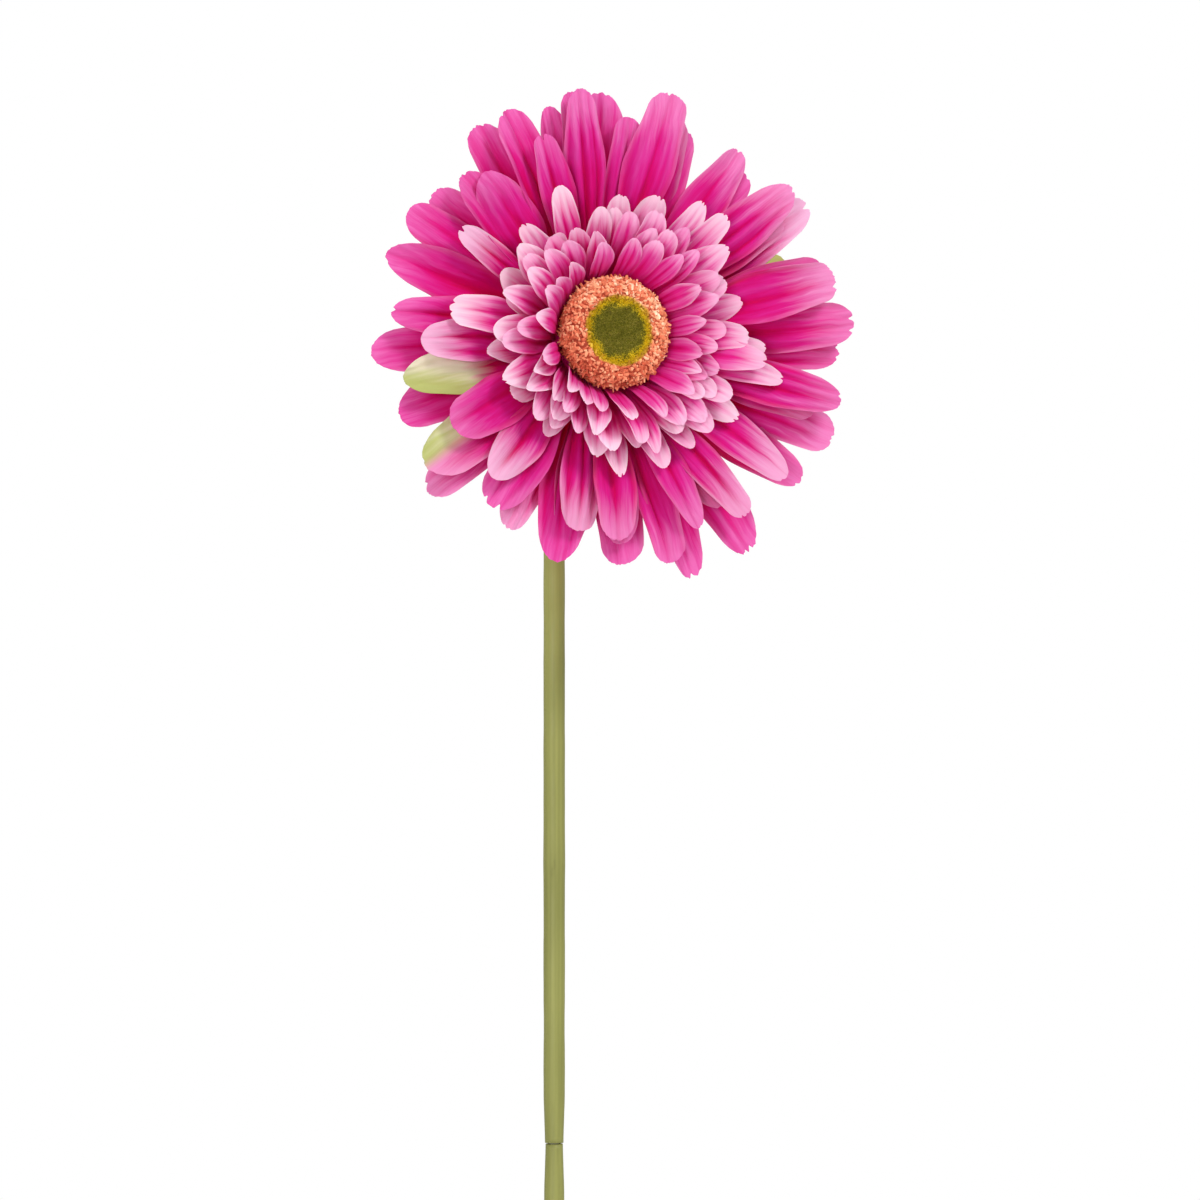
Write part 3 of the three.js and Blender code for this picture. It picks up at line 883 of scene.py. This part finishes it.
# Sizes are in millimetres. The petals leave the washer at hub, at the height base, and climb by rise on
# their way out to rim; foot is their width at the hub, and point is how far they taper. A petal is (clock
# angle, reach, width, paleness of its tip, depth of its snips, greenness). Where a sheet has a tip, the
# height of its petals' ends, angles and reaches are as seen from straight in front of the flower. Each
# petal laps over the next one clockwise, or under it where the sheet's lay is -1.
SHEETS = [
    {**LONG, "node": "rear_petals", "base": -12.5, "rise": 7, "rim": 62, "tip": -5.5,
     "crease": 1.1, "keel": 1.9, "petals": [
         (0, 61, 12, 0.1, 0.5, 0), (21.5, 56, 11, 0.1, 0, 0), (41, 54, 10, 0.1, 0.6, 0),
         (56, 61.5, 14, 0.9, 1.2, 0), (67, 48.5, 11, 0, 0, 1), (93, 58.5, 12, 0.2, 1, 0),
         (116, 61.5, 12, 0.3, 0.6, 0), (128.5, 59.5, 13, 0.2, 0.8, 0), (147, 64, 14.5, 0.1, 1.2, 0),
         (162, 64, 13, 0.1, 0.8, 0), (178.5, 58, 13.5, 0.1, 0, 0), (195, 52, 10.5, 0.1, 0, 0),
         (209, 56, 11, 0.6, 0.4, 0), (230, 61, 12, 0.4, 0.8, 0), (250.5, 57, 13, 0.05, 0, 0),
         (265, 60, 12.5, 0.1, 0, 0), (288.5, 59, 13, 0.1, 0.4, 0), (308, 55.5, 11, 0.1, 0, 0),
         (327, 61, 11, 0.1, 0.3, 0), (345.5, 59, 10, 0.1, 0, 0)]},
    {**LONG, "node": "outer_petals", "base": -11.7, "rise": 9.6, "rim": 60, "tip": -2.1,
     "crease": 1.2, "keel": 2.0, "lay": -1.0, "petals": [
         (6.5, 55, 9, 0.1, 0, 0), (20, 58, 11.5, 0.35, 0.6, 0), (37.5, 57.5, 12, 0.3, 0.6, 0),
         (53, 54, 12, 0.5, 0.5, 0), (73, 57, 11, 0.2, 1, 0), (87.5, 61.5, 12.5, 0.25, 1.5, 0),
         (109, 54, 11, 0.3, 0.5, 0), (126, 50, 10, 0.3, 0, 0), (149, 51, 10, 0.3, 0.4, 0),
         (165.5, 59, 10.5, 0.15, 0, 0), (180, 53, 11, 0.2, 0, 0), (196, 59, 14.5, 0.05, 0, 0),
         (216, 53.5, 13, 0.1, 1.6, 0), (234, 58, 14, 0.5, 0.3, 0.75), (255, 53.5, 13.5, 0.2, 0, 1),
         (275.5, 55, 11, 0.1, 1.0, 0), (302, 58, 11.5, 0.1, 0, 0), (316, 53.5, 12, 0.1, 0.5, 0),
         (336, 61, 12, 0.1, 0.5, 0), (351, 61.5, 10, 0.1, 0.4, 0)]},
    {**LONG, "node": "upper_petals", "base": -10.9, "rise": 12.6, "rim": 56, "tip": 1.4,
     "foot": 3.4, "crease": 1.2, "keel": 2.0, "petals": [
         (13.5, 63, 12.5, 0.25, 0.6, 0), (52, 60, 12.5, 0.4, 0.8, 0), (76, 58.5, 13, 0.4, 1.2, 0),
         (108, 60, 12, 0.2, 1, 0), (127.5, 56, 11.5, 0.7, 0.4, 0), (145, 56, 10, 0.6, 0.8, 0),
         (156, 53, 9, 0.2, 0.3, 0), (179, 52, 11.5, 0.3, 0, 0), (192, 50, 12.5, 0.6, 0, 0),
         (218.5, 48, 12.5, 0.85, 0, 0), (237, 47, 13.5, 0.15, 0, 0), (267, 47, 11.5, 0.85, 0, 0),
         (305, 45, 7.5, 1, 1.2, 0), (321, 50, 13, 0.1, 0.3, 0), (341, 52, 9.5, 0.1, 1.2, 0),
         (353, 61.5, 10.8, 0.15, 0, 0)]},
    {**SHORT, "node": "lower_collar_petals", "base": -10.1, "rise": 13, "rim": 42, "tip": 3,
     "crease": 0.3, "keel": 0.7, "cup": 0.7, "point": 0.5, "grid": (24, 44), "petals": [
         (6.5, 35, 7, 0.9, 0.5, 0), (20, 37, 8.5, 0.9, 0.9, 0), (37, 41, 7, 0.9, 0.8, 0),
         (45, 42, 7.5, 0.9, 0.8, 0), (63, 32, 7, 0.6, 0.4, 0), (77, 34.5, 7.5, 0.7, 0.4, 0),
         (95, 39, 6.5, 0.8, 0.5, 0), (104, 44.5, 7.5, 0.8, 0.8, 0), (124, 38, 8, 0.95, 0.9, 0),
         (147, 35, 6.5, 0.7, 0, 0), (160, 36, 7.5, 0.8, 0, 0), (179, 36, 7, 1, 0.9, 0),
         (212, 30, 6.5, 0.8, 0, 0), (237, 29.5, 8, 0.9, 0, 0), (260, 31, 7.5, 0.9, 0, 0),
         (278, 40, 9, 1, 1.0, 0), (297, 30, 8, 1, 0, 0), (323.5, 34, 7, 0.9, 0.9, 0),
         (339, 38.5, 8, 1, 0, 0)]},
    {**SHORT, "node": "upper_collar_petals", "base": -9.3, "rise": 14.5, "rim": 35, "tip": 5,
     "crease": 0.3, "keel": 0.7, "cup": 0.6, "point": 0.5, "grid": (24, 40), "petals": [
         (5, 31.5, 6.5, 0.9, 0.4, 0), (30, 29, 6.5, 0.8, 0.3, 0), (52, 37, 8.5, 0.8, 0.6, 0),
         (64, 32, 7.5, 0.7, 0.3, 0), (90, 34.5, 7.5, 0.8, 0.4, 0), (101, 39, 8, 0.7, 0.7, 0),
         (120.5, 33.5, 7.5, 0.8, 0, 0), (135, 34.5, 7.5, 0.7, 0, 0), (145, 30, 7.5, 0.95, 0, 0),
         (168, 29, 6.5, 0.8, 0, 0), (189, 31, 8.5, 0.95, 0.4, 0), (210, 28, 6.5, 0.8, 0, 0),
         (224.5, 29, 7.5, 0.8, 0, 0), (244, 29.5, 8.5, 1, 0.9, 0), (271, 29.5, 8, 1, 0, 0),
         (290, 27, 7, 0.9, 0, 0), (311, 31, 8, 1, 0, 0), (332, 28, 6.5, 0.8, 0, 0),
         (354, 31.5, 7, 0.9, 0, 0)]},
    {**SHORT, "node": "lower_inner_petals", "hub": 12.9, "base": -8.5, "rise": 15, "rim": 32, "foot": 3.8,
     "crease": 0.32, "keel": 0.6, "cup": 0.5, "lobes": (2, 3, 4), "point": 0.54, "grid": (22, 36),
     "petals": even_ring(18, 3, 30, 2, 6.8, 0.85)},
    {**SHORT, "node": "upper_inner_petals", "hub": 12.4, "base": -7.7, "rise": 16, "rim": 28,
     "crease": 0.32, "keel": 0.6, "cup": 0.5, "lobes": (2, 3, 4), "point": 0.56, "grid": (22, 36),
     "petals": even_ring(18, 12, 27, 1.8, 6.2, 0.85)},
    {**SHORT, "node": "floret_ring", "hub": 11.8, "base": -6.9, "rise": 18, "rim": 24, "foot": 3.0,
     "crease": 0.28, "keel": 0.5, "cup": 0.4, "point": 0.56, "grid": (18, 32),
     "petals": even_ring(19, 5, 22.6, 1.5, 5.6, 0.8)},
]


def add_sheet(sheet, seed):
    """Grows one sheet of petals and gives its cloth a thickness."""
    columns, rows = sheet["grid"]
    piece = grow(
        sheet["node"] + "_cloth", petal_plan(sheet, random.Random(seed)), PETAL_SHEET, HEAD,
        Hub=sheet["hub"] * MM, Base=sheet["base"] * MM, Rise=sheet["rise"] * MM, Rim=sheet["rim"] * MM,
        Foot=sheet["foot"] * MM, Point=sheet["point"], Columns=columns, Rows=rows,
        Crease=sheet["crease"] * MM, Keel=sheet["keel"] * MM, Cup=sheet["cup"] * MM,
        Lay=sheet.get("lay", 1.0), Material=sheet["material"])
    thicken(piece, CLOTH_THICKNESS, 0)
    hand_in(piece, [sheet["node"]])


for seed, sheet in enumerate(SHEETS, FIRST_SHEET_SEED):
    add_sheet(sheet, seed)


# The sepal star. A small green sheet cut and pressed as the petals are, threaded on behind them.

SEPAL_CLOTH = cloth_material(
    "sepal_cloth", [(0.1, (92, 106, 40)), (0.5, (118, 134, 58)), (0.95, (148, 160, 82))],
    pale_colour=(186, 196, 128), pale_start=0.8, weave=0.32, sheen=(230, 240, 190), glow_share=0.3)
add_sheet({
    "node": "sepal_star", "hub": 9.5, "base": -13.7, "rise": 0.7, "rim": 26, "foot": 3.0, "crease": 0.35,
    "keel": 0.3, "cup": 0.4, "lobes": (2, 3), "point": 0.8, "material": SEPAL_CLOTH, "slot": "sepal_fabric",
    "grid": (16, 28), "petals": even_ring(16, 0, 21, 1, 4.6, 0.4)}, SEPAL_SEED)


# The pollen ring. Crumbs of chopped foam, dyed orange and glued in a thick crust round the core. Most lie
# flat in the glue, some stand on end, and the ones along the inner lip are stained yellow.

RING_OUTLINE = [  # radius and height on the head's axis, in millimetres
    (9.8, -6), (10.6, -6), (12.2, -3), (13.3, 0.2), (13.6, 2.3), (13.0, 4.0), (11.9, 5.3), (10.6, 5.9),
    (9.3, 5.5), (8.6, 4.7), (8.7, 4.3), (9.8, 2.7), (9.8, -6)]
CRUMBS_PER_SQUARE_METRE = 3.4e6
CRUMB_SIZE = 0.5 * MM
CRUST_ROUGHNESS = 1.1 * MM
CRUMB_SEED = 5


def pick(tree, low, high, seed, kind="FLOAT"):
    """A random number or vector for each point."""
    return add_node(
        tree, "FunctionNodeRandomValue", output={"FLOAT_VECTOR": 0, "FLOAT": 1, "INT": 2}[kind],
        settings={"data_type": kind}, Min=low, Max=high, Seed=seed)


def scaled(tree, direction, amount):
    return add_node(
        tree, "ShaderNodeVectorMath", settings={"operation": "SCALE"}, Vector=direction, Scale=amount)


def rough_body(tree, body, roughness):
    """A smooth, lumpy copy of a turned body."""
    fine = add_node(tree, "GeometryNodeSubdivisionSurface", Mesh=body, Level=2)
    lumps = noise(tree, add_node(tree, "GeometryNodeInputPosition"), 520.0, 3.0) - 0.5
    normal = add_node(tree, "GeometryNodeInputNormal")
    return add_node(
        tree, "GeometryNodeSetPosition", Geometry=fine, Offset=scaled(tree, normal, lumps * roughness))


def end_faceted_tree(tree, geometry, material):
    """Ends a tree with Realize Instances and Set Material. Each point carries its place on the head, in
    millimetres.
    """
    real = add_node(tree, "GeometryNodeRealizeInstances", Geometry=geometry)
    place = scaled(tree, add_node(tree, "GeometryNodeInputPosition"), 1 / MM)
    marked = keep(tree, real, "on_head", place)
    painted = add_node(tree, "GeometryNodeSetMaterial", Geometry=marked, Material=material)
    tree.links.new(painted.socket, tree.nodes.new("NodeGroupOutput").inputs[0])


def crumb_tree():
    """Covers a body with chopped crumbs of two shapes, each with its own size, turn and shade."""
    tree, body, given = geometry_tree(
        "crumbs", Density="Float", Crumb="Float", Roughness="Float", Seed="Int", Material="Material")
    rough = rough_body(tree, body, given["Roughness"])
    points = add_node(
        tree, "GeometryNodeDistributePointsOnFaces", Mesh=rough, Density=given["Density"], Seed=given["Seed"])
    normal = Field(tree, points.socket.node.outputs["Normal"])
    sunk = add_node(
        tree, "GeometryNodeSetPosition", Geometry=points,
        Offset=scaled(tree, normal, pick(tree, -0.3, 0.8, 1) * given["Crumb"]))
    chip = add_node(tree, "GeometryNodeMeshIcoSphere", Radius=1.0, Subdivisions=1)
    chunk = add_node(
        tree, "GeometryNodeMeshCone", Vertices=5, Radius_Top=0.5, Radius_Bottom=0.95, Depth=1.9)
    shapes = join(tree, *(
        add_node(tree, "GeometryNodeGeometryToInstance", Geometry=shape) for shape in (chip, chunk)))
    turn = pick(tree, (0, 0, 0), (6.28, 6.28, 6.28), 3, "FLOAT_VECTOR")
    size = pick(tree, (0.5, 0.5, 0.6), (1.1, 1.1, 1.6), 4, "FLOAT_VECTOR")
    crumbs = add_node(
        tree, "GeometryNodeInstanceOnPoints", Points=sunk, Instance=shapes, Pick_Instance=True,
        Instance_Index=pick(tree, 0, 1, 2, "INT"), Rotation=turn, Scale=scaled(tree, size, given["Crumb"]))
    shaded = keep(tree, crumbs, "crumb", pick(tree, 0.15, 1.0, 5), "FLOAT", "INSTANCE")
    end_faceted_tree(tree, join(tree, rough, shaded), given["Material"])
    return tree


def crumb_material():
    """Dyed foam crumbs from brick red through orange to cream, stained yellow on the ring's inner lip, and
    painted paler towards the ring's upper right and darker at its lower left, as painted light and shade.
    """
    material, tree, shader = new_material("pollen_crumb")
    shade = carried(tree, "crumb", 2)
    x, y, _ = carried(tree, "on_head").parts()
    radius = (x * x + y * y).math("SQRT")
    place = vector(tree, *own_place(tree))
    patches = noise(tree, place, 330.0) - 0.5
    # The (x + y) term is painted light: paler towards the ring's upper right, darker towards its lower left.
    tone = shade * 0.75 + patches * 0.5 + (x + y) * 0.008 + 0.06
    foam = colours(tree, tone, [
        (0.05, (158, 60, 40)), (0.25, (206, 98, 68)), (0.5, (228, 134, 98)), (0.75, (240, 174, 134)),
        (0.95, (250, 218, 186))])
    stain = (1 - (radius + patches * 1.6).ramp(8.5, 9.2)) * 0.9
    stained = blend(tree, stain, foam, colours(tree, shade, [(0.1, (150, 104, 8)), (0.9, (214, 176, 40))]))
    grain = noise(tree, place, 3200.0, 3.0)
    finish_shader(tree, shader, stained, grain * 0.1 + 0.78, grain, 0.12 * MM, 0.6)
    shader.inputs["Specular IOR Level"].default_value = 0.25
    return material


def in_metres(outline):
    return [(radius * MM, height * MM) for radius, height in outline]


ring = grow(
    "pollen_crust", lathe("pollen_core", in_metres(RING_OUTLINE)), crumb_tree(), HEAD,
    Density=CRUMBS_PER_SQUARE_METRE, Crumb=CRUMB_SIZE, Roughness=CRUST_ROUGHNESS, Seed=CRUMB_SEED,
    Material=crumb_material())
hand_in(ring, ["pollen_ring"])


# The green eye. A shallow dome flocked with short fibres, olive in the middle and yellow round its edge,
# where it meets the ring.

EYE_OUTLINE = [  # radius and height on the head's axis, in millimetres
    (0, 4.2), (8.3, 4.2), (8.7, 4.5), (7.6, 4.8), (5.6, 5.0), (3, 5.1), (0, 5.1)]
FIBRES_PER_SQUARE_METRE = 2.3e7
FIBRE_LENGTH = 0.9 * MM
FIBRE_RADIUS = 0.07 * MM
DOME_ROUGHNESS = 0.25 * MM
FLOCK_SEED = 7
OLIVE_RADIUS = 6.7


def flock_tree():
    """Plants short tapered fibres on the upper side of a body, each leaning its own way."""
    tree, body, given = geometry_tree(
        "flock", Density="Float", Length="Float", Radius="Float", Seed="Int", Material="Material")
    rough = rough_body(tree, body, DOME_ROUGHNESS)
    _, _, upward = add_node(tree, "GeometryNodeInputNormal").parts()
    points = add_node(
        tree, "GeometryNodeDistributePointsOnFaces", Mesh=rough, Selection=upward.math("GREATER_THAN", 0.2),
        Density=given["Density"], Seed=given["Seed"])
    upright = Field(tree, points.socket.node.outputs["Rotation"])
    lean = pick(tree, (-0.9, -0.9, 0), (0.9, 0.9, 6.28), 1, "FLOAT_VECTOR")
    turned_fibre = add_node(
        tree, "FunctionNodeRotateRotation", settings={"rotation_space": "LOCAL"}, Rotation=upright,
        Rotate_By=lean)
    fibre = add_node(tree, "GeometryNodeMeshCone", Vertices=3, Radius_Top=0.35, Radius_Bottom=1.0, Depth=1.0)
    tall = given["Length"] * pick(tree, 0.5, 1.2, 2)
    fibres = add_node(
        tree, "GeometryNodeInstanceOnPoints", Points=points, Instance=fibre, Rotation=turned_fibre,
        Scale=vector(tree, given["Radius"], given["Radius"], tall))
    shaded = keep(tree, fibres, "fibre", pick(tree, 0.1, 1.0, 3), "FLOAT", "INSTANCE")
    end_faceted_tree(tree, join(tree, rough, shaded), given["Material"])
    return tree


def flock_material():
    """Olive flock that breaks up into yellow at a ragged line, with a brown fleck here and there."""
    material, tree, shader = new_material("eye_flock")
    shade = carried(tree, "fibre", 2)
    x, y, _ = carried(tree, "on_head").parts()
    radius = (x * x + y * y).math("SQRT")
    place = vector(tree, *own_place(tree))
    patches = noise(tree, place, 420.0, 3.0)
    tone = shade * 0.55 + patches * 0.45
    olive = colours(tree, tone, [(0.2, (94, 92, 20)), (0.5, (132, 124, 36)), (0.85, (170, 156, 70))])
    yellow = colours(tree, tone, [(0.2, (184, 144, 6)), (0.5, (226, 190, 14)), (0.85, (244, 220, 66))])
    ragged = radius + (patches - 0.5) * 4.5 + (shade - 0.5) * 1.5
    flocked = blend(tree, ragged.ramp(OLIVE_RADIUS - 0.5, OLIVE_RADIUS + 0.5), olive, yellow)
    fleck = noise(tree, place, 900.0).ramp(0.66, 0.74) * 0.5
    finish_shader(
        tree, shader, blend(tree, fleck, flocked, srgb(112, 84, 52)), patches * 0.1 + 0.85,
        noise(tree, place, 5000.0), 0.08 * MM)
    shader.inputs["Specular IOR Level"].default_value = 0.15
    return material


eye = grow(
    "flocked_eye", lathe("eye_dome", in_metres(EYE_OUTLINE)), flock_tree(), HEAD,
    Density=FIBRES_PER_SQUARE_METRE, Length=FIBRE_LENGTH, Radius=FIBRE_RADIUS, Seed=FLOCK_SEED,
    Material=flock_material())
hand_in(eye, ["green_eye"])
